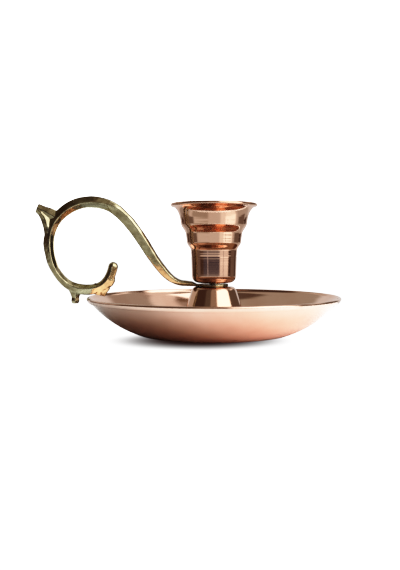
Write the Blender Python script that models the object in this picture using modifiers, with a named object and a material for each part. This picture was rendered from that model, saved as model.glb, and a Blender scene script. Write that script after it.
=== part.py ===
"""Chamber candlestick with a finger scroll.

A spun copper drip dish carries a hollow spun foot. The flat eye of a cast brass scroll handle
lies between that foot and a stepped copper candle cup. One slotted screw passes down the middle
of all four and is held below the dish by a hexagon nut on two washers, inside the dish's hollow.

The candlestick stands on Z = 0. Its turning axis is vertical and a little to the +X side of the
origin, so that the origin lies under the middle of the whole piece. The handle points to -X.
Sizes below are in millimetres, and every mesh is made in metres.
"""

import math

import bmesh
import bpy
from mathutils import Matrix, Vector
from mathutils.geometry import interpolate_bezier

MM = 0.001

# Fits
GAP = 0.3                     # air between pieces that touch
SHEET = 0.8                   # spun copper sheet

# Drip dish
DISH_DIAMETER = 120.0
DISH_HEIGHT = 17.5
RIM_ROLL_RADIUS = 1.1         # round edge of the rim
HEM_WIDTH = 3.3               # turned-over band below the rim
HEM_STEP = 0.55               # how far the band stands proud of the wall
BASE_RADIUS = 36.0            # outer edge of the flat ring that the dish stands on
BASE_RING_WIDTH = 6.0
TOE_ANGLE = 19.0              # slope of the wall where it leaves the ring, degrees
RISE_RUN = 10.0               # width of the slope from the ring up to the raised centre

# Foot
FOOT_BASE_RADIUS = 14.2
FOOT_TOP_RADIUS = 10.05
FOOT_HEIGHT = 13.4
FOOT_SHOULDER = 2.5

# Candle cup, from its floor up
SOCKET_RADIUS = 10.45         # outside, at the bottom
CUP_CORNER = 3.4              # round corner at the bottom
SOCKET_TAPER = 0.75           # how much the lower barrel widens
SOCKET_HEIGHT = 16.1
LOWER_STEP = 1.75
MIDDLE_TAPER = 0.55
MIDDLE_HEIGHT = 7.9           # lower shoulder included
UPPER_STEP = 2.4
UPPER_TAPER = 1.15
UPPER_HEIGHT = 9.95           # upper shoulder included
SHOULDER_HEIGHTS = (2.3, 3.7)
SHOULDER_FILLET = 1.5
FLARE = (2.85, 2.75)          # outward and upward run of the flare
FLARE_FILLET = 5.0
BEAD_RADIUS = 0.9             # rolled bead at the mouth

# Scroll handle: the eye and its strap
EYE_RADIUS = 6.9
EYE_THICKNESS = 1.1
STRAP_HALF_WIDTHS = (4.6, 4.2, 3.5)
STRAP_RISE = 1.2              # how much thicker the strap is at the cup's edge than at the eye
STRAP_REACH = 3.5             # from the cup's edge to the start of the sweep
STRAP_END_THICKNESS = 2.9

# Scroll handle: the scroll, from the dish's rim
SCROLL_OUT = 19.0             # furthest centre line beyond the rim
SCROLL_HEIGHT = 42.0          # bottom to top of the centre line
SCROLL_MIDDLE = 22.5          # height of the furthest point above the bottom
SCROLL_BOTTOM_OUT = 1.5
SCROLL_TOP_IN = 1.2
TIP_IN = 11.7
TIP_RISE = 11.0
SCROLL_PULLS = (0.36, 0.52)   # how far the sweep leaves the strap and meets the top level, of its span
ROUND_PULL = 0.5523           # the same for a quarter of an ellipse
TIP_PULLS = (9.0, 7.0)        # the same for the free end, in millimetres
TIP_LEAN = 0.2                # how far the free tip leans inwards for each millimetre up
BAR_HALF_DEPTH = 2.9
TIP_HALF_DEPTH = 2.5
BAR_EDGE = 0.5                # height of the bar's blunt edge, of its depth
STRAP_EDGE = 0.85
SPUR_EDGE = 0.6
BAR_START = 0.12              # fraction of the bar's length where the strap has become the bar
# Half thickness of the bar at fractions of its length, from the strap to the free tip
BAR_TAPER = ((0.0, 1.45), (0.1, 2.3), (0.2, 2.7), (0.31, 2.8), (0.435, 2.9),
             (0.65, 2.65), (0.76, 2.05), (0.87, 2.6), (1.0, 2.35))
LEAF_REACH = 25.6             # end of the leaf beyond the rim

# Spurs of the scroll: places out from the rim and up from it, half width and half depth
LEAF = ((15.0, 37.6, 3.4, 2.3), (19.0, 39.2, 3.3, 2.2), (21.8, 40.7, 2.4, 1.8),
        (LEAF_REACH - 0.8, 42.2, 2.1, 1.5))
OUTER_SPUR = ((6.3, 3.4, 3.0, 2.0), (6.3, 0.4, 2.3, 1.9), (6.3, -2.6, 2.1, 1.9), (6.3, -3.7, 1.4, 1.3))
INNER_SPUR = ((-5.2, 3.6, 2.6, 2.0), (-5.3, 1.4, 2.6, 2.0), (-5.3, GAP, 2.2, 1.6))

# Fasteners: an M4 slotted screw, its nut and washers
SHANK_RADIUS = 2.0
HEAD_RADIUS = 4.0
HEAD_HEIGHT = 2.6
SLOT_WIDTH = 1.2
SLOT_DEPTH = 1.3
CUP_WASHER = (4.5, 0.8)       # outer radius, thickness
BASE_WASHER = (6.0, 0.8)
SPRING_WASHER = (3.7, 1.0)
SPRING_SPLIT = 0.6
NUT_ACROSS_FLATS = 7.0
NUT_HEIGHT = 3.2
SHANK_PAST_NUT = 0.7
TABLE_CLEARANCE = 1.0         # air below the screw's end

# Smoothness
DISH_STEPS = 64
CUP_STEPS = 48
SMALL_STEPS = 24
ARC_STEP = math.radians(30)
SHARP_ANGLE = math.radians(35)

# Sizes that follow from the ones above
DISH_RADIUS = DISH_DIAMETER / 2
HOLE_RADIUS = SHANK_RADIUS + GAP
AXIS_X = LEAF_REACH / 2

SHANK_END_Z = TABLE_CLEARANCE
NUT_Z = SHANK_END_Z + SHANK_PAST_NUT
SPRING_Z = NUT_Z + NUT_HEIGHT + GAP
BASE_WASHER_Z = SPRING_Z + SPRING_WASHER[1] + GAP
CENTRE_Z = BASE_WASHER_Z + BASE_WASHER[1] + GAP
FOOT_Z = CENTRE_Z + SHEET + GAP
FOOT_TOP_Z = FOOT_Z + FOOT_HEIGHT
EYE_Z = FOOT_TOP_Z + GAP
CUP_Z = EYE_Z + EYE_THICKNESS + GAP
CUP_WASHER_Z = CUP_Z + SHEET + GAP
HEAD_Z = CUP_WASHER_Z + CUP_WASHER[1] + GAP


# ---------------------------------------------------------------- outlines

def filleted(corners):
    """Points along (radius, height, fillet) corners, with an arc at each corner that has a fillet."""
    points = []
    last = len(corners) - 1
    for i, (r, z, fillet) in enumerate(corners):
        here = Vector((r, z))
        if i in (0, last) or fillet == 0:
            points.append(here)
            continue
        back = Vector(corners[i - 1][:2]) - here
        ahead = Vector(corners[i + 1][:2]) - here
        turn = math.pi - back.angle(ahead)
        if turn < 1e-3:
            points.append(here)
            continue
        reach = min(fillet * math.tan(turn / 2), back.length * 0.48, ahead.length * 0.48)
        radius = reach / math.tan(turn / 2)
        start = here + back.normalized() * reach
        side = 1 if back.cross(ahead) < 0 else -1
        heading = -back.normalized()
        centre = start + Vector((-heading.y, heading.x)) * radius * side
        count = max(2, math.ceil(turn / ARC_STEP))
        for k in range(count + 1):
            swing = Matrix.Rotation(side * turn * k / count, 2)
            points.append(centre + swing @ (start - centre))
    return points


def arc(start, end, start_angle):
    """Points of the arc from start to end that leaves start at an angle in radians."""
    chord = end - start
    half = math.atan2(chord.y, chord.x) - start_angle
    radius = chord.length / 2 / math.sin(half)
    count = max(4, math.ceil(abs(2 * half) / ARC_STEP * 3))
    points = []
    origin = Vector((math.sin(start_angle), -math.cos(start_angle)))
    for k in range(count + 1):
        angle = start_angle + 2 * half * k / count
        along = Vector((math.sin(angle), -math.cos(angle)))
        points.append(start + (along - origin) * radius)
    return points


def bead(centre, radius, start_angle, end_angle):
    """Points round a circle, with angles in degrees from the outward direction."""
    count = math.ceil(abs(math.radians(end_angle - start_angle)) / ARC_STEP)
    points = []
    for k in range(count + 1):
        angle = math.radians(start_angle + (end_angle - start_angle) * k / count)
        points.append(centre + Vector((math.cos(angle), math.sin(angle))) * radius)
    return points


def inner_side(points, wall):
    """The outline's points moved to its right by the wall's thickness."""
    moved = []
    for i, here in enumerate(points):
        back = points[max(i - 1, 0)]
        ahead = points[min(i + 1, len(points) - 1)]
        edges = [(here - back), (ahead - here)]
        normals = [Vector((e.y, -e.x)).normalized() for e in edges if e.length > 1e-6]
        normal = sum(normals, Vector((0, 0))).normalized()
        moved.append(here + normal * (wall / max(normal.dot(normals[0]), 0.5)))
    return moved


def dish_outline():
    """Section of the dish: down its outside from the rim, then back along its inside."""
    roll = Vector((DISH_RADIUS - RIM_ROLL_RADIUS, DISH_HEIGHT - RIM_ROLL_RADIUS))
    slope = Vector((1, 1)).normalized()
    outward = Vector((1, -1)).normalized()
    hem_edge = roll + outward * (SHEET / 2 + HEM_STEP) - slope * HEM_WIDTH
    wall_top = hem_edge - outward * HEM_STEP
    ring_edge = Vector((BASE_RADIUS, 0))
    wall = arc(ring_edge, wall_top, math.radians(TOE_ANGLE))[::-1]
    ring_inside = BASE_RADIUS - BASE_RING_WIDTH
    floor = filleted([
        (wall[-2].x, wall[-2].y, 0),
        (BASE_RADIUS, 0, 3.0),
        (ring_inside, 0, 5.0),
        (ring_inside - RISE_RUN, CENTRE_Z, 5.0),
        (HOLE_RADIUS, CENTRE_Z, 0),
    ])
    sheet = wall[:-2] + floor
    inside = inner_side(sheet, SHEET)
    rim = bead(roll, RIM_ROLL_RADIUS, 140, -45)
    hem = [hem_edge + slope * 0.3, hem_edge - outward * 0.15]
    return rim + hem + sheet + inside[::-1]


def foot_outline():
    """Section of the hollow foot, open below."""
    outside = filleted([
        (HOLE_RADIUS, FOOT_TOP_Z, 0),
        (FOOT_TOP_RADIUS, FOOT_TOP_Z, FOOT_SHOULDER),
        (FOOT_BASE_RADIUS, FOOT_Z, 0),
    ])
    inside = inner_side(outside, SHEET)
    inside[-1].y = FOOT_Z
    return outside + inside[::-1]


def cup_outline():
    """Section of the stepped candle cup, from the bead down its outside and up its inside."""
    r = SOCKET_RADIUS
    z = CUP_Z
    corners = [(HOLE_RADIUS, z, 0), (r, z, CUP_CORNER)]
    r += SOCKET_TAPER
    z += SOCKET_HEIGHT
    corners.append((r, z, SHOULDER_FILLET))
    corners.append((r + LOWER_STEP, z + SHOULDER_HEIGHTS[0], SHOULDER_FILLET))
    r += LOWER_STEP + MIDDLE_TAPER
    z += MIDDLE_HEIGHT
    corners.append((r, z, SHOULDER_FILLET))
    corners.append((r + UPPER_STEP, z + SHOULDER_HEIGHTS[1], SHOULDER_FILLET))
    r += UPPER_STEP + UPPER_TAPER
    z += UPPER_HEIGHT
    corners.append((r, z, FLARE_FILLET))
    corners.append((r + FLARE[0], z + FLARE[1], 0))
    outside = filleted(corners)[::-1]
    roll = Vector((r + FLARE[0], z + FLARE[1])) + Vector((0.1, BEAD_RADIUS * 0.55))
    mouth = bead(roll, BEAD_RADIUS, 190, -100)
    return mouth + outside + inner_side(outside, SHEET)[::-1][:-1]


def washer_outline(bottom, radius, thickness):
    """Section of a flat washer on the screw."""
    top = bottom + thickness
    return [Vector(p) for p in (
        (HOLE_RADIUS, top), (radius, top), (radius, bottom), (HOLE_RADIUS, bottom))]


def screw_outline():
    """Half section of the screw, from its axis out and back to its axis."""
    top = HEAD_Z + HEAD_HEIGHT
    return filleted([
        (0, top, 0),
        (HEAD_RADIUS, top, 0.6),
        (HEAD_RADIUS, HEAD_Z, 0),
        (SHANK_RADIUS, HEAD_Z, 0),
        (SHANK_RADIUS, SHANK_END_Z + 0.5, 0),
        (SHANK_RADIUS - 0.5, SHANK_END_Z, 0),
        (0, SHANK_END_Z, 0),
    ])


# ---------------------------------------------------------------- objects

def fresh_scene():
    """Remove every object and return the collections for the parts and for the cutters."""
    for old in list(bpy.data.objects):
        bpy.data.objects.remove(old, do_unlink=True)
    parts = bpy.data.collections.new("chamber_candlestick")
    cutters = bpy.data.collections.new("cutters")
    for made in (parts, cutters):
        bpy.context.scene.collection.children.link(made)
    return parts, cutters


def metal(name, colour, roughness):
    """A metal with one colour."""
    made = bpy.data.materials.new(name)
    made.use_nodes = True
    shader = made.node_tree.nodes["Principled BSDF"]
    shader.inputs["Base Color"].default_value = (*colour, 1.0)
    shader.inputs["Metallic"].default_value = 1.0
    shader.inputs["Roughness"].default_value = roughness
    return made


def add_object(name, mesh, collection, material=None):
    """An object on the candlestick's axis."""
    made = bpy.data.objects.new(name, mesh)
    made.location = (AXIS_X * MM, 0, 0)
    if material:
        mesh.materials.append(material)
    collection.objects.link(made)
    return made


def settle(thing):
    """Turn the object's modifiers into its mesh, shaded smooth with its edges kept sharp."""
    graph = bpy.context.evaluated_depsgraph_get()
    mesh = bpy.data.meshes.new_from_object(thing.evaluated_get(graph), depsgraph=graph)
    thing.modifiers.clear()
    thing.data = mesh
    mesh.shade_smooth()
    mesh.set_sharp_from_angle(angle=SHARP_ANGLE)


def turned(name, outline, steps, collection, material, closed=True):
    """A piece turned about the axis from (radius, height) points."""
    mesh = bpy.data.meshes.new(name)
    points = [(p.x * MM, 0, p.y * MM) for p in outline]
    edges = [(i, i + 1) for i in range(len(points) - 1)]
    if closed:
        edges.append((len(points) - 1, 0))
    mesh.from_pydata(points, edges, [])
    made = add_object(name, mesh, collection, material)
    screw = made.modifiers.new("turn", 'SCREW')
    screw.steps = steps
    screw.render_steps = steps
    screw.use_merge_vertices = True
    screw.merge_threshold = 0.00001
    settle(made)
    return made


def cutter(name, mesh, collection):
    """A guide shape, shown as wires, for joining or cutting."""
    made = add_object(name, mesh, collection)
    made.hide_render = True
    made.display_type = 'WIRE'
    return made


def combine(thing, other, operation):
    """Join another shape to the thing, or cut it away."""
    step = thing.modifiers.new(other.name, 'BOOLEAN')
    step.object = other
    step.operation = operation
    step.solver = 'EXACT'


def cylinder_mesh(name, radius, bottom, top, sides):
    """A closed cylinder on the axis, or a prism for a low number of sides."""
    shape = bmesh.new()
    bmesh.ops.create_cone(shape, cap_ends=True, segments=sides, radius1=radius * MM,
                          radius2=radius * MM, depth=(top - bottom) * MM,
                          matrix=Matrix.Translation((0, 0, (top + bottom) / 2 * MM)))
    mesh = bpy.data.meshes.new(name)
    shape.to_mesh(mesh)
    shape.free()
    return mesh


def box_mesh(name, size, centre, tilt=0.0):
    """A closed box, tilted about the X axis."""
    shape = bmesh.new()
    place = Matrix.Translation(Vector(centre) * MM) @ Matrix.Rotation(tilt, 4, 'X')
    stretch = Matrix.Diagonal((*(Vector(size) * MM), 1.0))
    bmesh.ops.create_cube(shape, size=1.0, matrix=place @ stretch)
    mesh = bpy.data.meshes.new(name)
    shape.to_mesh(mesh)
    shape.free()
    return mesh


# ---------------------------------------------------------------- handle

def blend(knots, at):
    """Smooth value between (position, value) knots."""
    for (left, low), (right, high) in zip(knots, knots[1:]):
        if at <= right:
            f = (at - left) / (right - left)
            f = f * f * (3 - 2 * f)
            return low + (high - low) * f
    return knots[-1][1]


def scroll_route():
    """Centre line of the bar from the strap, over the top and round to the free tip."""
    start_z = EYE_Z + STRAP_END_THICKNESS / 2
    start = Vector((-(SOCKET_RADIUS + STRAP_REACH), 0, start_z))
    rim = Vector((-DISH_RADIUS, 0, DISH_HEIGHT))
    thickest = max(half for _, half in BAR_TAPER[-3:])
    bottom = rim + Vector((-SCROLL_BOTTOM_OUT, 0, GAP + thickest + 0.1))
    top = Vector((rim.x + SCROLL_TOP_IN, 0, bottom.z + SCROLL_HEIGHT))
    left = Vector((rim.x - SCROLL_OUT, 0, bottom.z + SCROLL_MIDDLE))
    tip = Vector((rim.x + TIP_IN, 0, bottom.z + TIP_RISE))
    span = start.x - top.x
    right = Vector((1, 0, 0))
    up = Vector((0, 0, 1))
    lean = Vector((TIP_LEAN, 0, 1)).normalized()
    pieces = [
        (start, start - right * span * SCROLL_PULLS[0], top + right * span * SCROLL_PULLS[1], top, 14),
        (top, top - right * (top.x - left.x) * ROUND_PULL,
         left + up * (top.z - left.z) * ROUND_PULL, left, 8),
        (left, left - up * (left.z - bottom.z) * ROUND_PULL,
         bottom - right * (bottom.x - left.x) * ROUND_PULL, bottom, 9),
        (bottom, bottom + right * TIP_PULLS[0], tip - lean * TIP_PULLS[1], tip, 6),
    ]
    route = []
    for first, first_handle, last_handle, last, count in pieces:
        stretch = interpolate_bezier(first, first_handle, last_handle, last, count + 1)
        route += stretch if not route else stretch[1:]
    return route


def ring(centre, across, half_thickness, half_depth, flat):
    """Six-sided section of the bar, with a ridge along each of its two broad sides."""
    corners = ((-1, -flat), (0, -1), (1, -flat), (1, flat), (0, 1), (-1, flat))
    depth = Vector((0, 1, 0))
    return [centre + across * (u * half_thickness) + depth * (w * half_depth) for u, w in corners]


def skin_mesh(name, rings):
    """A closed skin over rings of points, with flat ends."""
    shape = bmesh.new()
    loops = [[shape.verts.new(p * MM) for p in points] for points in rings]
    for near, far in zip(loops, loops[1:]):
        for i in range(len(near)):
            j = (i + 1) % len(near)
            shape.faces.new((near[i], near[j], far[j], far[i]))
    shape.faces.new(loops[0][::-1])
    shape.faces.new(loops[-1])
    bmesh.ops.recalc_face_normals(shape, faces=shape.faces)
    mesh = bpy.data.meshes.new(name)
    shape.to_mesh(mesh)
    shape.free()
    return mesh


def strap_rings():
    """Flat strap from inside the eye to the start of the sweep."""
    up = Vector((0, 0, 1))
    thickness = EYE_THICKNESS
    stops = (
        (EYE_RADIUS - 3.0, thickness - 0.1, STRAP_HALF_WIDTHS[0]),
        (SOCKET_RADIUS - CUP_CORNER * 0.7, thickness, STRAP_HALF_WIDTHS[0]),
        (SOCKET_RADIUS, thickness + STRAP_RISE, STRAP_HALF_WIDTHS[1]),
        (SOCKET_RADIUS + STRAP_REACH, STRAP_END_THICKNESS, STRAP_HALF_WIDTHS[2]),
    )
    rings = []
    for reach, thick, half_width in stops:
        lift = 0.05 if thick < thickness else 0.0
        centre = Vector((-reach, 0, EYE_Z + lift + thick / 2))
        rings.append(ring(centre, up, thick / 2, half_width, STRAP_EDGE))
    return rings


def bar_rings():
    """The bar of the scroll after the strap, closed by a round tip."""
    route = scroll_route()
    lengths = [0.0]
    for near, far in zip(route, route[1:]):
        lengths.append(lengths[-1] + (far - near).length)
    rings = []
    for i in range(1, len(route)):
        f = lengths[i] / lengths[-1]
        along = (route[min(i + 1, len(route) - 1)] - route[i - 1]).normalized()
        across = Vector((along.z, 0, -along.x))
        half_depth = blend(((0.0, STRAP_HALF_WIDTHS[2]), (BAR_START, BAR_HALF_DEPTH),
                            (1.0, TIP_HALF_DEPTH)), f)
        flat = blend(((0.0, STRAP_EDGE), (BAR_START, BAR_EDGE)), f)
        rings.append(ring(route[i], across, blend(BAR_TAPER, f), half_depth, flat))
    end = BAR_TAPER[-1][1]
    for angle in (35, 65):
        turn = math.radians(angle)
        centre = route[-1] + along * end * math.sin(turn)
        shrink = math.cos(turn)
        rings.append(ring(centre, across, end * shrink, TIP_HALF_DEPTH * shrink, BAR_EDGE))
    return rings


def spur_mesh(name, stops):
    """A tapering spur through stops that are measured from the dish's rim."""
    points = [Vector((-DISH_RADIUS - out, 0, DISH_HEIGHT + lift)) for out, lift, _, _ in stops]
    rings = []
    for i, (_, _, half_width, half_depth) in enumerate(stops):
        along = points[min(i + 1, len(points) - 1)] - points[max(i - 1, 0)]
        along.normalize()
        rings.append(ring(points[i], Vector((along.z, 0, -along.x)), half_width, half_depth,
                          SPUR_EDGE))
    return skin_mesh(name, rings)


def add_handle(parts, cutters, brass):
    """The cast handle: eye, strap and bar, with a leaf and two short spurs on the scroll."""
    handle = add_object("scroll_handle", skin_mesh("scroll_handle", strap_rings() + bar_rings()),
                        parts, brass)
    eye = cylinder_mesh("eye", EYE_RADIUS, EYE_Z, EYE_Z + EYE_THICKNESS, 32)
    spurs = [spur_mesh("leaf", LEAF), spur_mesh("outer_spur", OUTER_SPUR),
             spur_mesh("inner_spur", INNER_SPUR)]
    for shape in (eye, *spurs):
        combine(handle, cutter(shape.name, shape, cutters), 'UNION')
    hole = cylinder_mesh("eye_hole", HOLE_RADIUS, EYE_Z - 2, EYE_Z + EYE_THICKNESS + 2, SMALL_STEPS)
    combine(handle, cutter("eye_hole", hole, cutters), 'DIFFERENCE')
    settle(handle)


# ---------------------------------------------------------------- fasteners

def add_screw(parts, cutters, steel):
    """Slotted screw whose head lies in the candle cup."""
    screw = turned("clamp_screw", screw_outline(), SMALL_STEPS, parts, steel, closed=False)
    top = HEAD_Z + HEAD_HEIGHT
    slot = box_mesh("slot", (HEAD_RADIUS * 3, SLOT_WIDTH, SLOT_DEPTH * 2), (0, 0, top))
    combine(screw, cutter("slot", slot, cutters), 'DIFFERENCE')
    settle(screw)


def add_nut(parts, cutters, steel):
    """Hexagon nut below the dish's raised centre."""
    corner_radius = NUT_ACROSS_FLATS / 2 / math.cos(math.pi / 6)
    nut = add_object("hex_nut", cylinder_mesh("hex_nut", corner_radius, NUT_Z,
                                              NUT_Z + NUT_HEIGHT, 6), parts, steel)
    bore = cylinder_mesh("nut_bore", HOLE_RADIUS, NUT_Z - 2, NUT_Z + NUT_HEIGHT + 2, SMALL_STEPS)
    combine(nut, cutter("nut_bore", bore, cutters), 'DIFFERENCE')
    settle(nut)


def add_spring_washer(parts, cutters, steel):
    """Split ring between the nut and the broad washer."""
    radius, thickness = SPRING_WASHER
    outline = washer_outline(SPRING_Z, radius, thickness)
    washer = turned("spring_washer", outline, SMALL_STEPS, parts, steel)
    middle = (-(radius + HOLE_RADIUS) / 2, 0, SPRING_Z + thickness / 2)
    split = box_mesh("split", (radius, SPRING_SPLIT, thickness * 3), middle, math.radians(25))
    combine(washer, cutter("split", split, cutters), 'DIFFERENCE')
    settle(washer)


def main():
    parts, cutters = fresh_scene()
    copper = metal("copper", (0.66, 0.34, 0.22), 0.22)
    brass = metal("brass", (0.42, 0.33, 0.14), 0.3)
    steel = metal("steel", (0.5, 0.49, 0.46), 0.35)

    turned("drip_dish", dish_outline(), DISH_STEPS, parts, copper)
    turned("socket_foot", foot_outline(), CUP_STEPS, parts, copper)
    turned("candle_cup", cup_outline(), CUP_STEPS, parts, copper)
    add_handle(parts, cutters, brass)
    add_screw(parts, cutters, steel)
    turned("cup_washer", washer_outline(CUP_WASHER_Z, *CUP_WASHER), SMALL_STEPS, parts, steel)
    turned("base_washer", washer_outline(BASE_WASHER_Z, *BASE_WASHER), SMALL_STEPS, parts, steel)
    add_spring_washer(parts, cutters, steel)
    add_nut(parts, cutters, steel)


main()
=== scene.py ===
"""Looks of the chamber candlestick: spun copper dish, foot and cup, cast brass scroll handle."""

import math

import bmesh
import bpy
import numpy as np
from mathutils import Matrix, Vector, noise
from mathutils.geometry import interpolate_bezier


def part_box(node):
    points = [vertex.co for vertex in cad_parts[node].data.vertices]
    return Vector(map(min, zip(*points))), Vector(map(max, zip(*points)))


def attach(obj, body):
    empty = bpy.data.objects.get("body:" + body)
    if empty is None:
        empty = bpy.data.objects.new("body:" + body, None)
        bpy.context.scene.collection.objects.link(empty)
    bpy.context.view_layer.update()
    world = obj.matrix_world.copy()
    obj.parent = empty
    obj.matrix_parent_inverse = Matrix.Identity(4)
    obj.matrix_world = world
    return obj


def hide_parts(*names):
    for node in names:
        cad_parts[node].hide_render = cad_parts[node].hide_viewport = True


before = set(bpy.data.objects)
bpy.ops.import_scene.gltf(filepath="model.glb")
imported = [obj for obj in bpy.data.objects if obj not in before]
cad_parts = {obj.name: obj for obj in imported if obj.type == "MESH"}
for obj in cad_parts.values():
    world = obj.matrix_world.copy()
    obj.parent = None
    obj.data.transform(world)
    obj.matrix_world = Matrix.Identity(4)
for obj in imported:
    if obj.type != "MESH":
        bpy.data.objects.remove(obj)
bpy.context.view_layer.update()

MM = 0.001

# Places and sizes that come from the frame, in millimetres
DISH_LOW, DISH_HIGH = (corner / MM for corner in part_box("drip_dish"))
FOOT_LOW, FOOT_HIGH = (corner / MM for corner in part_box("socket_foot"))
CUP_LOW, CUP_HIGH = (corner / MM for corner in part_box("candle_cup"))
SCREW_LOW, SCREW_HIGH = (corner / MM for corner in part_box("clamp_screw"))
NUT_LOW, NUT_HIGH = (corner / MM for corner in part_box("hex_nut"))
AXIS_X = (DISH_LOW.x + DISH_HIGH.x) / 2
DISH_RADIUS = (DISH_HIGH.x - DISH_LOW.x) / 2
RIM_Z = DISH_HIGH.z
FOOT_RADIUS = (FOOT_HIGH.x - FOOT_LOW.x) / 2
CUP_RADIUS = (CUP_HIGH.x - CUP_LOW.x) / 2

# Sizes that several pieces share
GAP = 0.3
SHEET = 0.8
HOLE_RADIUS = 2.3
DISH_CENTRE_Z = FOOT_LOW.z - GAP - SHEET
EYE_CLEARANCE = 0.06
EYE_Z = FOOT_HIGH.z + EYE_CLEARANCE
EYE_RADIUS = 6.9
EYE_THICKNESS = 1.2

# Cup, by height above its bottom: straight barrels that widen by an amount between two heights
BARREL_RADIUS = 10.52
BARREL_TAPER = 0.034
UPPER_TAPER = 0.096
UPPER_FROM = 17.0
WIDENINGS = ((0.12, 10.5, 16.5), (1.55, 15.4, 19.2), (1.65, 23.4, 28.1))
FLARE = 2.65
FLARE_HEIGHT = 36.3
FLARE_LENGTH = 1.92

# Scroll, from the left end of the dish's rim to the right and up
LOOP_BOTTOM = (-1.5, 3.0)
LOOP_LEFT = (-19.0, 25.5)
LOOP_TOP = (1.2, 45.0)
TIP = (11.7, 14.0)

# Flat strap between eye and bar: distance from the axis, thickness and half width
STRAP_END = 13.95
STRAP = ((3.9, EYE_THICKNESS, 4.6), (8.07, EYE_THICKNESS, 4.6), (10.45, EYE_THICKNESS + 1.2, 4.2),
         (STRAP_END, 2.9, 3.5))

# The bar at fractions of its length from the strap to the free tip: half its thickness, half its
# depth, and where the ridge of its broad side lies between the scroll's inside (-1) and outside (1)
BAR_HALF_THICKNESS = ((0.0, 1.45), (0.1, 2.3), (0.2, 2.7), (0.31, 2.8), (0.435, 2.9),
                      (0.65, 2.65), (0.76, 2.05), (0.87, 2.6), (1.0, 2.35))
BAR_HALF_DEPTH = ((0.0, 3.5), (0.12, 2.9), (0.3, 2.9), (0.42, 3.3), (0.7, 3.2), (0.84, 2.6), (1.0, 2.5))
RIDGE_SHIFT = ((0.0, 0.2), (0.1, 0.5), (0.3, 0.5), (0.43, -0.2), (0.55, -0.32), (0.65, -0.38),
               (0.76, -0.28), (0.87, -0.3), (1.0, -0.1))
# Height of the blunt edge on the inside and on the outside of the scroll, of the bar's depth
INNER_EDGE = ((0.0, 0.85), (0.1, 0.6), (0.3, 0.5), (0.4, 0.05), (0.72, 0.05), (0.86, 0.4), (1.0, 0.6))
OUTER_EDGE = ((0.0, 0.8), (0.1, 0.76), (0.32, 0.74), (0.43, 0.42), (0.7, 0.45), (0.84, 0.8), (1.0, 0.6))
SPUR_EDGES = (0.55, 0.55)

# Spurs of the casting, from the left end of the dish's rim: x, z, half width and half depth
SPURS = {
    "leaf": ((-16.0, 37.8, 3.2, 2.4), (-19.0, 39.4, 3.0, 2.2), (-21.8, 40.9, 2.3, 1.9),
             (-24.7, 42.2, 2.15, 1.6)),
    "leaf_heel": ((-18.9, 26.0, 2.0, 2.6), (-19.3, 33.0, 2.5, 2.8), (-20.5, 37.0, 2.5, 2.6),
                  (-22.6, 39.8, 2.0, 2.3), (-24.6, 41.4, 1.7, 1.8)),
    "outer_spur": ((-6.3, 4.4, 4.2, 2.2), (-6.3, 1.6, 2.7, 2.0), (-6.3, -0.6, 1.9, 1.8),
                   (-6.3, -2.4, 2.1, 1.9), (-6.3, -3.7, 1.5, 1.4)),
    "inner_spur": ((6.6, 5.0, 4.1, 2.2), (5.5, 2.2, 3.3, 2.1), (5.1, GAP, 2.8, 1.7)),
    "tip_bulge": ((9.0, 4.4, 1.2, 1.4), (9.9, 5.8, 1.9, 2.0), (10.8, 7.6, 2.1, 2.1),
                  (11.1, 9.3, 1.7, 1.9), (11.1, 10.8, 1.0, 1.2)),
}

# Unevenness of the casting: depth, wavelength and seed
RIPPLES = ((0.22, 6.0, 3), (0.05, 1.7, 8))

# Smoothness
DISH_STEPS = 320
CUP_STEPS = 256
SMALL_STEPS = 96
ARC_STEP = math.radians(7)
BEAD_STEP = ARC_STEP * 1.5
SHARP_ANGLE = math.radians(32)
DISH_SPACING = 1.5
FOOT_SPACING = 0.8
CUP_SPACING = 0.6
ROUTE_POINTS = 240
VOXEL = 0.2
SOFTENING = 7

# Colours of the metals
COPPER = (0.75, 0.475, 0.345)
DISH_COPPER = (0.80, 0.55, 0.43)
TARNISH = (0.86, 0.72, 0.66)
BRASS_BRIGHT = (0.6, 0.55, 0.35)
BRASS_DARK = (0.33, 0.28, 0.17)
# Painted shade on the sides of the handle
BRASS_SIDE_SHADE = (0.13, 0.1, 0.06)
STEEL_BRIGHT = (0.52, 0.5, 0.46)
STEEL_DARK = (0.38, 0.36, 0.32)

# Sizes, brightness and colours of the stage and of the room
FLOOR_RADIUS = 3000
TABLE_RADIUS = 92
TABLE_DROP = 0.02
BACKGROUND = 3.0
FLOOR_GLOW = 1.6
TABLE_PALE = 0.7
SHADOW = (0.03, 0.012, 0.01)
DARK_ROOM = (0.08, 0.052, 0.04)
WINDOW = (2.7, 2.65, 2.55)

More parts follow.
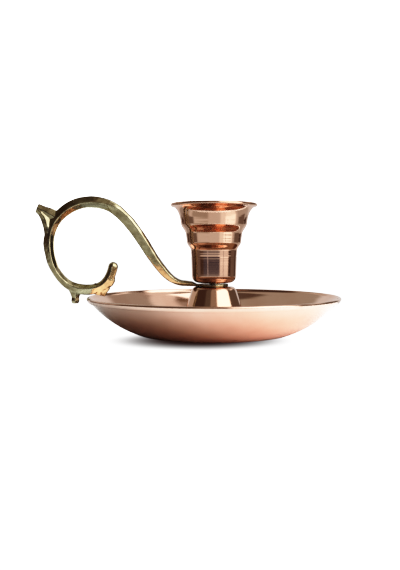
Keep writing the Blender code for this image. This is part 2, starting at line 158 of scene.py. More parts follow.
# Parts of the room in the order that they cover each other: azimuth range, elevation range,
# soft edges in degrees and colour
ROOM = (
    ((-180, 180), (58, 90), (9, 9), (0.13, 0.1, 0.08)),
    ((-180, -105), (30, 75), (12, 8), (0.4, 0.37, 0.32)),
    ((-140, -100), (8, 24), (8, 5), (0.55, 0.5, 0.45)),
    ((-38, -12), (24, 62), (10, 8), (0.14, 0.12, 0.1)),
    ((98, 180), (30, 75), (8, 8), (0.4, 0.36, 0.32)),
    ((86, 140), (0, 26), (6, 5), (0.15, 0.13, 0.11)),
    ((-20, 110), (64, 80), (10, 6), (0.22, 0.16, 0.12)),
    ((-12, 20), (18, 70), (8, 8), (0.36, 0.3, 0.25)),
    ((-50, 28), (-10, 12), (8, 4), (0.085, 0.08, 0.11)),
    ((-181, 181), (-90, -9.5), (1, 4), (0.7, 0.7, 0.68)),
    ((-145, -98), (-90, -9.5), (10, 4), (0.4, 0.4, 0.39)),
    ((-122, -78), (-15, -4), (9, 3), (0.2, 0.17, 0.15)),
    ((92, 140), (-90, -9.5), (8, 4), (0.52, 0.52, 0.5)),
    ((-75, -25), (-60, -20), (10, 6), (0.42, 0.4, 0.36)),
    ((96, 120), (-13, -4), (7, 3), (0.2, 0.17, 0.15)),
    ((28, 74), (-90, -9.5), (10, 3), (1.1, 1.1, 1.06)),
    ((46, 74), (-90, -20), (8, 6), (1.4, 1.4, 1.36)),
    ((44, 74), (-20, -9.5), (8, 3), (1.8, 1.8, 1.75)),
    ((32, 72), (-10, 0), (6, 2), (0.9, 0.87, 0.84)),
    ((148, 181), (-90, 26), (9, 6), (0.75, 0.75, 0.75)),
    ((-181, -148), (-90, 26), (9, 6), (0.75, 0.75, 0.75)),
    ((20, 75), (62, 74), (8, 6), (0.4, 0.34, 0.28)),
    ((45, 85), (70, 84), (8, 4), (2.3, 2.25, 2.2)),
    ((78, 102), (54, 66), (5, 4), (2.3, 2.25, 2.2)),
    ((20, 76), (10, 46), (9, 5), WINDOW),
    ((33, 76), (1, 54), (3, 7), WINDOW),
    ((70, 87), (42, 66), (4, 4), WINDOW),
    ((106, 134), (28, 35), (4, 3), (1.1, 1.05, 1.0)),
    ((94, 150), (58, 68), (6, 4), (0.9, 0.85, 0.8)),
    ((-32, -30.5), (-13, 6), (1, 2), (0.7, 0.7, 0.75)),
    ((47.5, 48.5), (-13, 0), (1, 2), (0.2, 0.18, 0.2)),
)

# Display brightness for scene brightness, as a camera renders it: a firm toe and a soft shoulder
TONES = ((0.0, 0.0), (0.04, 0.022), (0.12, 0.095), (0.3, 0.29), (0.5, 0.51), (0.8, 0.78),
         (1.1, 0.93), (1.5, 1.0))


# ---------------------------------------------------------------- outlines

def filleted(corners):
    """Points along (radius, height, fillet) corners, with an arc at each corner that has a fillet."""
    longest_share = 0.49
    points = []
    last = len(corners) - 1
    for i, (r, z, fillet) in enumerate(corners):
        here = Vector((r, z))
        if i in (0, last) or fillet == 0:
            points.append(here)
            continue
        back = Vector(corners[i - 1][:2]) - here
        ahead = Vector(corners[i + 1][:2]) - here
        turn = math.pi - back.angle(ahead)
        reach = min(fillet * math.tan(turn / 2), back.length * longest_share,
                    ahead.length * longest_share)
        radius = reach / math.tan(turn / 2)
        start = here + back.normalized() * reach
        side = 1 if back.cross(ahead) < 0 else -1
        heading = -back.normalized()
        centre = start + Vector((-heading.y, heading.x)) * radius * side
        count = max(2, math.ceil(turn / ARC_STEP))
        for k in range(count + 1):
            swing = Matrix.Rotation(side * turn * k / count, 2)
            points.append(centre + swing @ (start - centre))
    return points


def arc(start, end, start_angle, count):
    """Points of the arc from start to end that leaves start at an angle in radians."""
    chord = end - start
    half = math.atan2(chord.y, chord.x) - start_angle
    radius = chord.length / 2 / math.sin(half)
    origin = Vector((math.sin(start_angle), -math.cos(start_angle)))
    points = []
    for k in range(count + 1):
        angle = start_angle + 2 * half * k / count
        points.append(start + (Vector((math.sin(angle), -math.cos(angle))) - origin) * radius)
    return points


def bead(centre, radius, start_angle, end_angle):
    """Points round a circle, with angles in degrees from the outward direction."""
    count = math.ceil(abs(math.radians(end_angle - start_angle)) / BEAD_STEP)
    points = []
    for k in range(count + 1):
        angle = math.radians(start_angle + (end_angle - start_angle) * k / count)
        points.append(centre + Vector((math.cos(angle), math.sin(angle))) * radius)
    return points


def inner_side(points, wall):
    """The outline's points moved to its right by the wall's thickness."""
    shortest_edge = 1e-6
    sharpest_turn = 0.5
    moved = []
    for i, here in enumerate(points):
        back = points[max(i - 1, 0)]
        ahead = points[min(i + 1, len(points) - 1)]
        edges = [here - back, ahead - here]
        normals = [Vector((e.y, -e.x)).normalized() for e in edges if e.length > shortest_edge]
        normal = sum(normals, Vector((0, 0))).normalized()
        moved.append(here + normal * (wall / max(normal.dot(normals[0]), sharpest_turn)))
    return moved


def finely(points, longest):
    """The same outline with its long straight stretches divided."""
    fine = [points[0]]
    for here in points[1:]:
        back = fine[-1]
        count = max(1, math.ceil((here - back).length / longest))
        fine += [back.lerp(here, k / count) for k in range(1, count + 1)]
    return fine


def dish_outline():
    """Section of the dish: round rim, turned-over hem, wall, flat ring and raised centre."""
    roll_radius = 0.75
    hem_width = 1.7
    hem_step = 0.56
    hem_swell = 0.12
    hem_bevel = 0.5
    hem_fillet = 0.6
    hem_run = 0.9
    hem_points = 10
    lip_hollow = 0.16
    lip_points = 6
    base_radius = 36.0
    base_fillet = 3.0
    wall_angle = math.radians(19)
    wall_steps = 28
    ring_inside = 30.0
    rise_run = 10.0
    rise_fillet = 5.0
    roll = Vector((DISH_RADIUS - roll_radius, RIM_Z - roll_radius))
    slope = Vector((1, 1)).normalized()
    outward = Vector((1, -1)).normalized()
    hem_edge = roll + outward * (SHEET / 2 + hem_step) - slope * hem_width
    wall_top = hem_edge - outward * hem_step - slope * hem_bevel
    wall = arc(Vector((base_radius, 0)), wall_top, wall_angle, wall_steps)[::-1]
    floor = filleted([
        (wall[-2].x, wall[-2].y, 0),
        (base_radius, 0, base_fillet),
        (ring_inside, 0, rise_fillet),
        (ring_inside - rise_run, DISH_CENTRE_Z, rise_fillet),
        (HOLE_RADIUS, DISH_CENTRE_Z, 0),
    ])
    sheet = finely(wall[:-2] + floor, DISH_SPACING)
    inside = inner_side(sheet, SHEET)
    rim = bead(roll, roll_radius, 150, -30)
    hem = []
    for k in range(1, hem_points - 1):
        f = k / hem_points
        hem.append(rim[-1].lerp(hem_edge, f) + outward * hem_swell * math.sin(math.pi * f))
    hem_corner = filleted([
        (*hem[-1], 0),
        (*hem_edge, hem_fillet),
        (*hem_edge.lerp(wall_top, hem_run), 0),
    ])[1:]
    # The inside turns up a little more steeply just below the rim.
    lip = []
    for k in range(1, lip_points):
        f = k / lip_points
        hollow = Vector((lip_hollow, -lip_hollow)) * math.sin(math.pi * f)
        lip.append(inside[0].lerp(rim[0], f) + hollow)
    return rim + hem + hem_corner + sheet + inside[::-1] + lip


def foot_outline():
    """Section of the hollow foot, open below."""
    top_radius = 10.05
    top_fillet = 2.5
    skirt_flare = 1.3
    skirt_height = 5
    skirt_fillet = 30
    outside = finely(filleted([
        (HOLE_RADIUS, FOOT_HIGH.z, 0),
        (top_radius, FOOT_HIGH.z, top_fillet),
        (FOOT_RADIUS - skirt_flare, FOOT_LOW.z + skirt_height, skirt_fillet),
        (FOOT_RADIUS, FOOT_LOW.z, 0),
    ]), FOOT_SPACING)
    inside = inner_side(outside, SHEET)
    inside[-1].y = FOOT_LOW.z
    return outside + inside[::-1]


def rise(start, end, at):
    """Nought before start, one after end and a smooth rise between them."""
    f = min(max((at - start) / (end - start), 0), 1)
    return f * f * (3 - 2 * f)


def cup_radius(height):
    """Outside radius of the cup at a height above its bottom: two steps and a flaring mouth."""
    mark_depth = 0.022
    marks_per_mm = 1.15
    no_marks, full_marks = 9, 13
    radius = BARREL_RADIUS + BARREL_TAPER * height + UPPER_TAPER * max(height - UPPER_FROM, 0)
    for wider, start, end in WIDENINGS:
        radius += wider * rise(start, end, height)
    radius += FLARE * math.exp((height - FLARE_HEIGHT) / FLARE_LENGTH)
    # Faint marks of the turning tool, but not at the cup's lower end
    marks = mark_depth * noise.noise(Vector((0, 0, height * marks_per_mm)))
    return radius + marks * rise(no_marks, full_marks, height)


def cup_outline():
    """Section of the stepped cup, from the bead down its outside and back up its inside."""
    base = CUP_LOW.z
    bead_radius = 0.9
    corner_fillet = 3.4
    wall_top = 36.0
    wall_bottom = 8.0
    spacing = 0.22
    roll = Vector((CUP_RADIUS - bead_radius, CUP_HIGH.z - bead_radius))
    mouth = bead(roll, bead_radius, 205, -75)
    heights = np.arange(wall_top, wall_bottom, -spacing)
    wall = [Vector((cup_radius(h), base + h)) for h in heights]
    bottom = finely(filleted([
        (cup_radius(wall_bottom), base + wall_bottom, 0),
        (cup_radius(0), base, corner_fillet),
        (HOLE_RADIUS, base, 0),
    ]), CUP_SPACING)
    outside = wall + bottom[1:]
    return mouth + outside + inner_side(outside, SHEET)[::-1]


# ---------------------------------------------------------------- meshes

def add_object(name, mesh, material=None):
    """An object on the candlestick's axis."""
    made = bpy.data.objects.new(name, mesh)
    made.location = (AXIS_X * MM, 0, 0)
    if material:
        mesh.materials.append(material)
    bpy.context.scene.collection.objects.link(made)
    return made


def add_shape(name, shape, material=None):
    """An object on the axis from a bmesh, which is freed."""
    mesh = bpy.data.meshes.new(name)
    shape.to_mesh(mesh)
    shape.free()
    return add_object(name, mesh, material)


def settle(thing):
    """Turn the object's modifiers into its mesh, shaded smooth with its edges kept sharp."""
    graph = bpy.context.evaluated_depsgraph_get()
    mesh = bpy.data.meshes.new_from_object(thing.evaluated_get(graph), depsgraph=graph)
    thing.modifiers.clear()
    thing.data = mesh
    mesh.shade_smooth()
    mesh.set_sharp_from_angle(angle=SHARP_ANGLE)


def turned(name, outline, steps, material=None, closed=True):
    """A piece turned about the axis from (radius, height) points, closed unless it ends on the axis."""
    mesh = bpy.data.meshes.new(name)
    points = [(p.x * MM, 0, p.y * MM) for p in outline]
    edges = [(i, i + 1) for i in range(len(points) - 1)]
    if closed:
        edges.append((len(points) - 1, 0))
    mesh.from_pydata(points, edges, [])
    made = add_object(name, mesh, material)
    screw = made.modifiers.new("turn", 'SCREW')
    screw.steps = steps
    screw.render_steps = steps
    screw.use_merge_vertices = True
    screw.merge_threshold = 0.002 * MM
    settle(made)
    return made


def combine(thing, other, operation):
    """Join another shape to the thing, or cut it away, and remove that shape."""
    step = thing.modifiers.new(other.name, 'BOOLEAN')
    step.object = other
    step.operation = operation
    step.solver = 'EXACT'
    settle(thing)
    bpy.data.objects.remove(other, do_unlink=True)


def cylinder(name, radius, bottom, top, sides):
    """A closed cylinder on the axis, or a prism for a low number of sides."""
    shape = bmesh.new()
    bmesh.ops.create_cone(shape, cap_ends=True, segments=sides, radius1=radius * MM,
                          radius2=radius * MM, depth=(top - bottom) * MM,
                          matrix=Matrix.Translation((0, 0, (top + bottom) / 2 * MM)))
    return add_shape(name, shape)


def block(name, size, centre):
    """A closed box."""
    shape = bmesh.new()
    place = Matrix.Translation(Vector(centre) * MM) @ Matrix.Diagonal((*(Vector(size) * MM), 1))
    bmesh.ops.create_cube(shape, size=1.0, matrix=place)
    return add_shape(name, shape)


def ripple(thing, depth, wavelength, seed):
    """Move a casting's skin in and out by a smooth noise, but not close to the turning axis."""
    still, free = 10.0, 18.0
    inward = 0.2
    mesh = thing.data
    places = []
    for v in mesh.vertices:
        wave = noise.noise(v.co / (wavelength * MM) + Vector((seed, 0, 0))) - inward
        places.append(v.co + v.normal * (wave * depth * MM * rise(still, free, -v.co.x / MM)))
    mesh.vertices.foreach_set("co", [value for place in places for value in place])
    mesh.update()


# ---------------------------------------------------------------- handle

def blend(knots, at):
    """Smooth value between (position, value) knots."""
    for (left, low), (right, high) in zip(knots, knots[1:]):
        if at <= right:
            return low + (high - low) * rise(left, right, at)
    return knots[-1][1]


def by_rim(x, z):
    """A point of the handle's plane, from the left end of the dish's rim."""
    return Vector((x - DISH_RADIUS, 0, RIM_Z + z))


def scroll_route(count):
    """Centre line of the bar from the strap, over the top and round to the free tip."""
    right = Vector((1, 0, 0))
    up = Vector((0, 0, 1))
    lean = Vector((0.2, 0, 0.98))
    quarter = 0.5523
    strap_pull, top_pull = 0.36, 0.52
    bottom_pull, tip_pull = 9.0, 7.0
    start = Vector((-STRAP_END, 0, EYE_Z + BAR_HALF_THICKNESS[0][1]))
    bottom, left, top, tip = (by_rim(*place) for place in (LOOP_BOTTOM, LOOP_LEFT, LOOP_TOP, TIP))
    span = start.x - top.x
    # Each piece is a Bezier curve, with its share of the points.
    pieces = [
        (start, start - right * span * strap_pull, top + right * span * top_pull, top, 0.44),
        (top, top - right * (top.x - left.x) * quarter,
         left + up * (top.z - left.z) * quarter, left, 0.22),
        (left, left - up * (left.z - bottom.z) * quarter,
         bottom - right * (bottom.x - left.x) * quarter, bottom, 0.22),
        (bottom, bottom + right * bottom_pull, tip - lean * tip_pull, tip, 0.12),
    ]
    route = []
    for *curve, share in pieces:
        stretch = interpolate_bezier(*curve, round(count * share) + 1)
        route += stretch if not route else stretch[1:]
    return route


def section(half_thickness, half_depth, edges, ridge):
    """Points round the bar's section: blunt edges, and a soft ridge along each broad side."""
    inner, outer = edges
    inner_round, inner_flat = 0.8, 0.45
    outer_round, outer_flat = 0.88, 0.6
    ridge_softness, edge_softness = 0.2, 0.34
    steps = 5
    corners = [Vector(c) for c in (
        (-1, -inner * inner_flat), (-inner_round, -inner), (ridge, -1), (outer_round, -outer),
        (1, -outer * outer_flat), (1, outer * outer_flat), (outer_round, outer), (ridge, 1),
        (-inner_round, inner), (-1, inner * inner_flat))]
    points = []
    for i, here in enumerate(corners):
        softness = ridge_softness if abs(here.y) == 1 else edge_softness
        first = here.lerp(corners[i - 1], softness)
        last = here.lerp(corners[(i + 1) % len(corners)], softness)
        for k in range(steps + 1):
            t = k / steps
            points.append(first * (1 - t) ** 2 + here * 2 * t * (1 - t) + last * t * t)
    return [Vector((p.x * half_thickness, p.y * half_depth)) for p in points]


def ring(centre, across, half_thickness, half_depth, edges, ridge=0.0):
    """The bar's section set at a point of its centre line."""
    return [centre + across * p.x + Vector((0, p.y, 0))
            for p in section(half_thickness, half_depth, edges, ridge)]


def skin(name, rings):
    """A closed skin over rings of points, with flat ends."""
    shape = bmesh.new()
    loops = [[shape.verts.new(p * MM) for p in points] for points in rings]
    for near, far in zip(loops, loops[1:]):
        for i in range(len(near)):
            j = (i + 1) % len(near)
            shape.faces.new((near[i], near[j], far[j], far[i]))
    shape.faces.new(loops[0][::-1])
    shape.faces.new(loops[-1])
    bmesh.ops.recalc_face_normals(shape, faces=shape.faces)
    return add_shape(name, shape)


def strap_rings():
    """Flat strap from inside the eye to the start of the sweep."""
    up = Vector((0, 0, 1))
    steps = 8
    edges = (INNER_EDGE[0][1], OUTER_EDGE[0][1])
    rings = []
    for near, far in zip(STRAP, STRAP[1:]):
        for k in range(steps):
            f = k / steps
            reach, thick, half_width = (a + (b - a) * f for a, b in zip(near, far))
            centre = Vector((-reach, 0, EYE_Z + thick / 2))
            rings.append(ring(centre, up, thick / 2, half_width, edges, RIDGE_SHIFT[0][1]))
    return rings


def bar_rings():
    """The bar of the scroll after the strap, closed by a round tip."""
    tip_steps = 8
    route = scroll_route(ROUTE_POINTS)
    lengths = [0.0]
    for near, far in zip(route, route[1:]):
        lengths.append(lengths[-1] + (far - near).length)
    rings = []
    for i, here in enumerate(route):
        f = lengths[i] / lengths[-1]
        along = (route[min(i + 1, len(route) - 1)] - route[max(i - 1, 0)]).normalized()
        across = Vector((along.z, 0, -along.x))
        edges = (blend(INNER_EDGE, f), blend(OUTER_EDGE, f))
        rings.append(ring(here, across, blend(BAR_HALF_THICKNESS, f), blend(BAR_HALF_DEPTH, f), edges,
                          blend(RIDGE_SHIFT, f)))
    thickness, depth = BAR_HALF_THICKNESS[-1][1], BAR_HALF_DEPTH[-1][1]
    for k in range(1, tip_steps):
        turn = math.pi / 2 * k / tip_steps
        centre = route[-1] + along * thickness * math.sin(turn)
        shrink = math.cos(turn)
        rings.append(ring(centre, across, thickness * shrink, depth * shrink, edges))
    return rings


def spur(name, stops):
    """A tapering spur through (x, z, half width, half depth) stops."""
    points = [by_rim(x, z) for x, z, _, _ in stops]
    rings = []
    for i, (_, _, half_width, half_depth) in enumerate(stops):
        along = (points[min(i + 1, len(points) - 1)] - points[max(i - 1, 0)]).normalized()
        across = Vector((along.z, 0, -along.x))
        rings.append(ring(points[i], across, half_width, half_depth, SPUR_EDGES))
    return skin(name, rings)


def make_handle(material):
    """The cast handle in one skin, with soft fillets where the spurs and the eye meet the bar."""
    handle = skin("handle_casting", strap_rings() + bar_rings())
    handle.data.materials.append(material)
    for name, stops in SPURS.items():
        combine(handle, spur(name, stops), 'UNION')
    combine(handle, cylinder("eye", EYE_RADIUS, EYE_Z, EYE_Z + EYE_THICKNESS, 64), 'UNION')
    combine(handle, cylinder("eye_hole", HOLE_RADIUS, EYE_Z - 2, EYE_Z + 4, 48), 'DIFFERENCE')
    remesh = handle.modifiers.new("skin", 'REMESH')
    remesh.mode = 'VOXEL'
    remesh.voxel_size = VOXEL * MM
    smooth = handle.modifiers.new("soften", 'SMOOTH')
    smooth.iterations = SOFTENING
    settle(handle)
    for depth, wavelength, seed in RIPPLES:
        ripple(handle, depth, wavelength, seed)
    handle.data.shade_smooth()
    return handle


# ---------------------------------------------------------------- nodes

def shader_of(name):
    """A new node material, its node tree and its Principled shader."""
    made = bpy.data.materials.new(name)
    made.use_nodes = True
    tree = made.node_tree
    return made, tree, tree.nodes["Principled BSDF"]


def feed(tree, place, value):
    """Link a socket to another node's socket, or set it to a value."""
    if isinstance(value, bpy.types.NodeSocket):
        tree.links.new(value, place)
    else:
        place.default_value = value


def node(tree, kind, **inputs):
    """A node with its named inputs fed; an underscore stands for a space in a name."""
    made = tree.nodes.new(kind)
    for key, value in inputs.items():
        feed(tree, made.inputs[key.replace("_", " ")], value)
    return made


def math_node(tree, operation, *values):
    """The result of a maths node on sockets or numbers."""
    made = tree.nodes.new("ShaderNodeMath")
    made.operation = operation
    for place, value in zip(made.inputs, values):
        feed(tree, place, value)
    return made.outputs["Value"]


def length_of(tree, vector):
    """The length of a vector socket."""
    reach = node(tree, "ShaderNodeVectorMath", Vector=vector)
    reach.operation = 'LENGTH'
    return reach.outputs["Value"]


def ranged(tree, value, **limits):
    """A value moved from one range to another, each from nought to one unless it is given."""
    return node(tree, "ShaderNodeMapRange", Value=value, **limits).outputs["Result"]


def mixed(tree, factor, first, second):
    """A colour between two, each given as a socket or as red, green and blue."""
    made = tree.nodes.new("ShaderNodeMix")
    made.data_type = 'RGBA'
    tree.links.new(factor, made.inputs["Factor"])
    for key, colour in (("A", first), ("B", second)):
        feed(tree, made.inputs[key], (*colour, 1) if isinstance(colour, tuple) else colour)
    return made.outputs["Result"]


def roughen(tree, shader, height, strength, distance):
    """Give a shader a bumpy surface."""
    bump = node(tree, "ShaderNodeBump", Height=height, Strength=strength, Distance=distance)
    tree.links.new(bump.outputs["Normal"], shader.inputs["Normal"])


# ---------------------------------------------------------------- materials

def polar(tree):
    """Radius and height on the turning axis as one vector, for marks that run round a turned piece."""
    place = tree.nodes.new("ShaderNodeTexCoord")
    split = node(tree, "ShaderNodeSeparateXYZ", Vector=place.outputs["Object"])
    flat = node(tree, "ShaderNodeCombineXYZ", X=split.outputs["X"], Y=split.outputs["Y"])
    radius = length_of(tree, flat.outputs["Vector"])
    joined = node(tree, "ShaderNodeCombineXYZ", X=radius, Z=split.outputs["Z"])
    return joined.outputs["Vector"], place.outputs["Object"]


def copper(name, roughness, tint):
    """Polished spun copper: fine turning lines, faint clouding and a trace of tarnish."""
    made, tree, shader = shader_of(name)
    rings_at, body_at = polar(tree)
    lines = node(tree, "ShaderNodeTexNoise", Vector=rings_at, Scale=2600.0, Detail=3.0).outputs["Fac"]
    bands = node(tree, "ShaderNodeTexNoise", Vector=rings_at, Scale=420.0, Detail=2.0).outputs["Fac"]
    clouds = node(tree, "ShaderNodeTexNoise", Vector=body_at, Scale=55.0, Detail=5.0).outputs["Fac"]
    tarnished = tuple(channel * kept for channel, kept in zip(tint, TARNISH))
    amount = ranged(tree, clouds, From_Min=0.45, From_Max=0.75, To_Max=0.6)
    tree.links.new(mixed(tree, amount, tint, tarnished), shader.inputs["Base Color"])
    rough = ranged(tree, lines, From_Min=0.3, From_Max=0.7, To_Min=roughness * 0.7,
                   To_Max=roughness * 1.4)
    tree.links.new(rough, shader.inputs["Roughness"])
    marks = math_node(tree, 'MULTIPLY_ADD', bands, 2.0, lines)
    roughen(tree, shader, marks, 0.03, 0.2 * MM)
    shader.inputs["Metallic"].default_value = 1.0
    shader.inputs["Anisotropic"].default_value = 0.3
    return made


def brass():
    """Cast brass, polished by hand: random darker patches, painted shade on its sides, a slightly pitted
    skin.
    """
    made, tree, shader = shader_of("cast_brass")
    place = tree.nodes.new("ShaderNodeTexCoord")
    at = place.outputs["Object"]
    clouds = node(tree, "ShaderNodeTexNoise", Vector=at, Scale=240.0, Detail=3.0).outputs["Fac"]
    grain = node(tree, "ShaderNodeTexNoise", Vector=at, Scale=620.0, Detail=3.0).outputs["Fac"]
    amount = ranged(tree, clouds, From_Min=0.36, From_Max=0.66)
    polished = mixed(tree, amount, BRASS_BRIGHT, BRASS_DARK)
    # Painted shade: faces turned sideways, away from front and back, are coloured darker than the broad
    # faces.
    split = node(tree, "ShaderNodeSeparateXYZ", Vector=place.outputs["Normal"])
    facing = math_node(tree, 'ABSOLUTE', split.outputs["Y"])
    broad = ranged(tree, facing, From_Min=0.3, From_Max=0.62)
    tree.links.new(mixed(tree, broad, BRASS_SIDE_SHADE, polished), shader.inputs["Base Color"])
    tree.links.new(ranged(tree, grain, To_Min=0.1, To_Max=0.26), shader.inputs["Roughness"])
    roughen(tree, shader, grain, 0.08, 0.15 * MM)
    shader.inputs["Metallic"].default_value = 1.0
    return made


def steel():
    """Plated steel of the fasteners."""
    made, tree, shader = shader_of("plated_steel")
    at = tree.nodes.new("ShaderNodeTexCoord").outputs["Object"]
    grain = node(tree, "ShaderNodeTexNoise", Vector=at, Scale=700.0, Detail=4.0).outputs["Fac"]
    tree.links.new(mixed(tree, grain, STEEL_BRIGHT, STEEL_DARK), shader.inputs["Base Color"])
    tree.links.new(ranged(tree, grain, To_Min=0.25, To_Max=0.5), shader.inputs["Roughness"])
    shader.inputs["Metallic"].default_value = 1.0
    return made


# ---------------------------------------------------------------- fasteners

def make_washer(name, material):
    """A flat washer with broken edges."""
    edge = 0.12
    low, high = (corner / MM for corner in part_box(name))
    radius = (high.x - low.x) / 2
    middle = (low.z + high.z) / 2
    outline = filleted([
        (HOLE_RADIUS, middle, 0), (HOLE_RADIUS, high.z, edge), (radius, high.z, edge),
        (radius, low.z, edge), (HOLE_RADIUS, low.z, edge), (HOLE_RADIUS, middle, 0)])[:-1]
    return turned(name + "_fine", outline, SMALL_STEPS, material)


def make_spring_washer(material):
    """A washer with a split to the left."""
    washer = make_washer("spring_washer", material)
    low, high = (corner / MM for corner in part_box("spring_washer"))
    split_width = 0.6
    reach = 4
    split = block("split", (reach, split_width, reach), (-3, 0, (low.z + high.z) / 2))
    combine(washer, split, 'DIFFERENCE')
    return washer


def make_screw(material):
    """Slotted screw with a thread on its lower end."""
    shank = 2.0
    head = 4.0
    head_height = 2.6
    head_edge = 0.6
    plain_length = 14
    pitch = 0.7
    thread_depth = 0.4
    tip_length = 0.4
    tip_bevel = 0.5
    slot_width = 1.2
    slot_height = 2.6
    head_z = SCREW_HIGH.z - head_height
    outline = filleted([
        (0, SCREW_HIGH.z, 0), (head, SCREW_HIGH.z, head_edge), (head, head_z, 0.15), (shank, head_z, 0)])
    z = head_z - plain_length
    outline.append(Vector((shank, z)))
    while z - pitch > SCREW_LOW.z + tip_length:
        outline.append(Vector((shank - thread_depth, z - pitch * 0.5)))
        outline.append(Vector((shank, z - pitch)))
        z -= pitch
    outline += [Vector((shank - tip_bevel, SCREW_LOW.z)), Vector((0, SCREW_LOW.z))]
    screw = turned("clamp_screw_fine", outline, SMALL_STEPS, material, closed=False)
    slot = block("slot", (head * 3, slot_width, slot_height), (0, 0, SCREW_HIGH.z))
    combine(screw, slot, 'DIFFERENCE')
    return screw


def make_nut(material):
    """Hexagon nut with bevelled corners and a countersunk bore."""
    corner_bevel = 0.3
    bevel_height = 0.75
    sink_width = 0.9
    sink_top = 0.5
    sink_bottom = 0.4
    across_corners = (NUT_HIGH.y - NUT_LOW.y) / 2
    across_flats = across_corners * math.cos(math.pi / 6)
    nut = cylinder("hex_nut_fine", across_corners, NUT_LOW.z, NUT_HIGH.z, 6)
    nut.data.materials.append(material)
    blank_radius = across_corners + corner_bevel
    blank = turned("blank", [Vector(p) for p in (
        (0, NUT_HIGH.z), (across_flats, NUT_HIGH.z), (blank_radius, NUT_HIGH.z - bevel_height),
        (blank_radius, NUT_LOW.z + bevel_height), (across_flats, NUT_LOW.z), (0, NUT_LOW.z))],
        SMALL_STEPS, closed=False)
    combine(nut, blank, 'INTERSECT')
    sink_radius = HOLE_RADIUS + sink_width
    bore = turned("bore", [Vector(p) for p in (
        (0, NUT_HIGH.z + sink_top), (sink_radius, NUT_HIGH.z + sink_top),
        (HOLE_RADIUS, NUT_HIGH.z - sink_bottom), (HOLE_RADIUS, NUT_LOW.z + sink_bottom),
        (sink_radius, NUT_LOW.z - sink_top), (0, NUT_LOW.z - sink_top))],
        SMALL_STEPS, closed=False)
    combine(nut, bore, 'DIFFERENCE')
    return nut


# ---------------------------------------------------------------- stage

def disc(name, radius, material):
    """A flat round piece of the stage at floor level."""
    steps = 128
    shape = bmesh.new()
    turns = [2 * math.pi * k / steps for k in range(steps)]
    shape.faces.new([shape.verts.new((math.cos(t) * radius * MM, math.sin(t) * radius * MM, 0))
                     for t in turns])
    piece = add_shape(name, shape, material)
    return piece


def contact_shadow(tree, shader):
    """Floor as bright as the background but for a soft shadow close round the dish's base."""
    centre = (-6.0, -26.0)
    width = 1.25
    dark, bright = 9.0, 33.0
    fall_off = 2.6
    place = tree.nodes.new("ShaderNodeTexCoord")
    shift = node(tree, "ShaderNodeMapping", Vector=place.outputs["Object"],
                 Location=(-centre[0] / width * MM, -centre[1] * MM, 0), Scale=(1 / width, 1, 1))
    reach = length_of(tree, shift.outputs["Vector"])
    fade = ranged(tree, reach, From_Min=dark * MM, From_Max=bright * MM)
    light = math_node(tree, 'POWER', fade, fall_off)
    shade = mixed(tree, light, SHADOW, (FLOOR_GLOW, FLOOR_GLOW, FLOOR_GLOW))
    tree.links.new(shade, shader.inputs["Emission Color"])
    shader.inputs["Emission Strength"].default_value = 1.0
    shader.inputs["Base Color"].default_value = (0, 0, 0, 1)


def table_with_painted_light(tree, shader):
    """Table top with painted shade to the left and painted copper-coloured light close to the dish."""
    # Painted light: the dish's copper colour, as if thrown onto the table close to it
    painted_copper_glow = tuple(TABLE_PALE * share for share in (1.02, 0.74, 0.64))
    plain = tuple(TABLE_PALE * share for share in (1.0, 1.1, 1.15))
    glow_reach, plain_reach = 38, 66
    dark_x, pale_x = -70, 20
    left_shade_share = 0.82
    at = tree.nodes.new("ShaderNodeTexCoord").outputs["Object"]
    split = node(tree, "ShaderNodeSeparateXYZ", Vector=at)
    away = ranged(tree, length_of(tree, at), From_Min=glow_reach * MM,
                  From_Max=plain_reach * MM)
    # Painted shade: the table darkens towards the left
    left = ranged(tree, split.outputs["X"], From_Min=dark_x * MM, From_Max=pale_x * MM,
                  To_Min=left_shade_share)
    shade = node(tree, "ShaderNodeVectorMath")
    shade.operation = 'MULTIPLY'
    tree.links.new(mixed(tree, away, painted_copper_glow, plain), shade.inputs[0])
    tree.links.new(left, shade.inputs[1])
    tree.links.new(shade.outputs["Vector"], shader.inputs["Base Color"])


def make_floor():
    """Pale glowing floor with painted shadow, and the darker table top that only shows in the polished
    metal.
    """
    stages = (("floor", FLOOR_RADIUS, 0.0, contact_shadow),
              ("table", TABLE_RADIUS, -TABLE_DROP, table_with_painted_light))
    for name, radius, z, paint in stages:
        made, tree, shader = shader_of(name + "_paint")
        shader.inputs["Roughness"].default_value = 0.7
        shader.inputs["Specular IOR Level"].default_value = 0.0
        paint(tree, shader)
        piece = disc(name, radius, made)
        piece.location.z = z * MM
        seen = name == "floor"
        piece.visible_camera = seen
        piece.visible_glossy = not seen
        piece.visible_diffuse = not seen
        piece.visible_shadow = not seen


def angles(tree):
    """Azimuth from the front, to the right, and elevation of a direction, both in degrees."""
    place = tree.nodes.new("ShaderNodeTexCoord")
    split = node(tree, "ShaderNodeSeparateXYZ", Vector=place.outputs["Generated"])
    front = math_node(tree, 'MULTIPLY', split.outputs["Y"], -1.0)
    azimuth = math_node(tree, 'ARCTAN2', split.outputs["X"], front)
    elevation = math_node(tree, 'ARCSINE', split.outputs["Z"])
    return [math_node(tree, 'MULTIPLY', value, 180 / math.pi) for value in (azimuth, elevation)]


def between(tree, value, low, high, soft):
    """One where the value lies between low and high, fading to nought over a soft edge."""
    parts = []
    for start, end in ((low - soft, low), (high + soft, high)):
        step = node(tree, "ShaderNodeMapRange", Value=value, From_Min=start, From_Max=end)
        step.interpolation_type = 'SMOOTHSTEP'
        parts.append(step.outputs["Result"])
    return math_node(tree, 'MULTIPLY', *parts)


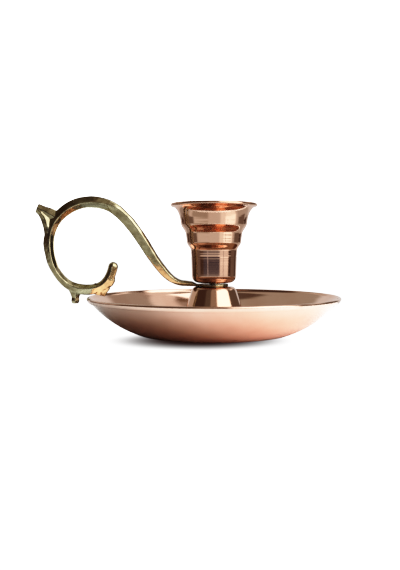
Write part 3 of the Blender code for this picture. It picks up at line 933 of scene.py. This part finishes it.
def make_world():
    """A dark room with a pale table and back wall and a tall window to the front right."""
    world = bpy.data.worlds.new("studio")
    world.use_nodes = True
    bpy.context.scene.world = world
    tree = world.node_tree
    azimuth, elevation = angles(tree)
    shade = DARK_ROOM
    for sides, heights, (side_soft, height_soft), colour in ROOM:
        mask = math_node(tree, 'MULTIPLY', between(tree, azimuth, *sides, side_soft),
                         between(tree, elevation, *heights, height_soft))
        shade = mixed(tree, mask, shade, colour)
    # The room is seen only in the metal; behind everything else there is plain white.
    room = node(tree, "ShaderNodeBackground", Color=shade)
    plain = node(tree, "ShaderNodeBackground", Color=(BACKGROUND, BACKGROUND, BACKGROUND, 1))
    path = tree.nodes.new("ShaderNodeLightPath")
    both = tree.nodes.new("ShaderNodeMixShader")
    tree.links.new(path.outputs["Is Camera Ray"], both.inputs["Fac"])
    tree.links.new(room.outputs["Background"], both.inputs[1])
    tree.links.new(plain.outputs["Background"], both.inputs[2])
    tree.links.new(both.outputs["Shader"], tree.nodes["World Output"].inputs["Surface"])


def add_light(data, towards):
    """A light that shines from a direction, and doesn't show in the metal itself."""
    light = bpy.data.objects.new(data.name, data)
    light.rotation_euler = towards.to_track_quat('Z', 'Y').to_euler()
    light.visible_camera = False
    light.visible_glossy = False
    bpy.context.scene.collection.objects.link(light)
    return light


def daylight():
    """The window's light on what isn't polished."""
    side = 160.0
    radiance = 26.0
    place = Vector((274, -122, 170))
    data = bpy.data.lights.new("daylight", 'AREA')
    data.shape = 'RECTANGLE'
    data.size = side * MM
    data.size_y = side * MM
    data.energy = radiance * math.pi * data.size * data.size_y
    light = add_light(data, place)
    light.location = (place + Vector((AXIS_X, 0, 0))) * MM


def skylight():
    """Soft light from above on what isn't polished."""
    turn = math.radians(20)
    lift = math.radians(78)
    spread = math.radians(70)
    data = bpy.data.lights.new("skylight", 'SUN')
    data.energy = 1.6
    data.angle = spread
    add_light(data, Vector((math.sin(turn) * math.cos(lift), -math.cos(turn) * math.cos(lift),
                            math.sin(lift))))


def make_tones():
    """Contrast of the picture."""
    view = bpy.context.scene.view_settings
    view.view_transform = 'Standard'
    view.use_curve_mapping = True
    mapping = view.curve_mapping
    white = TONES[-1][0]
    mapping.white_level = (white, white, white)
    curve = mapping.curves[3]
    for brightness, shown in TONES[1:-1]:
        curve.points.new(brightness / white, shown)
    mapping.update()


def make_camera():
    """Level camera a little above the dish, looking at the candlestick from the front."""
    frame_height = 570
    focal_pixels = 668.5
    centre_right = -14.0
    centre_up = -36.3
    distance = 320.0
    eye_height = 40.1
    data = bpy.data.cameras.new("camera")
    data.sensor_width = 36.0
    data.lens = focal_pixels / frame_height * data.sensor_width
    data.shift_x = centre_right / frame_height
    data.shift_y = centre_up / frame_height
    data.clip_start = 0.01
    camera = bpy.data.objects.new("camera", data)
    camera.location = (AXIS_X * MM, -distance * MM, eye_height * MM)
    camera.rotation_euler = (math.pi / 2, 0, 0)
    bpy.context.scene.collection.objects.link(camera)
    bpy.context.scene.camera = camera


# ---------------------------------------------------------------- assembly

def keep(piece, replaced):
    """Let a piece ride with the candlestick and stand for its plain solid."""
    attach(piece, "root")
    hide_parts(replaced)


def main():
    make_camera()
    dish_copper = copper("dish_copper", 0.09, DISH_COPPER)
    cup_copper = copper("cup_copper", 0.08, COPPER)
    plated = steel()
    keep(turned("dish_shell", dish_outline(), DISH_STEPS, dish_copper), "drip_dish")
    keep(turned("foot_shell", foot_outline(), CUP_STEPS, cup_copper), "socket_foot")
    keep(turned("cup_shell", cup_outline(), CUP_STEPS, cup_copper), "candle_cup")
    keep(make_handle(brass()), "scroll_handle")
    keep(make_washer("cup_washer", plated), "cup_washer")
    keep(make_washer("base_washer", plated), "base_washer")
    keep(make_spring_washer(plated), "spring_washer")
    keep(make_screw(plated), "clamp_screw")
    keep(make_nut(plated), "hex_nut")
    make_floor()
    make_world()
    daylight()
    skylight()
    make_tones()


main()
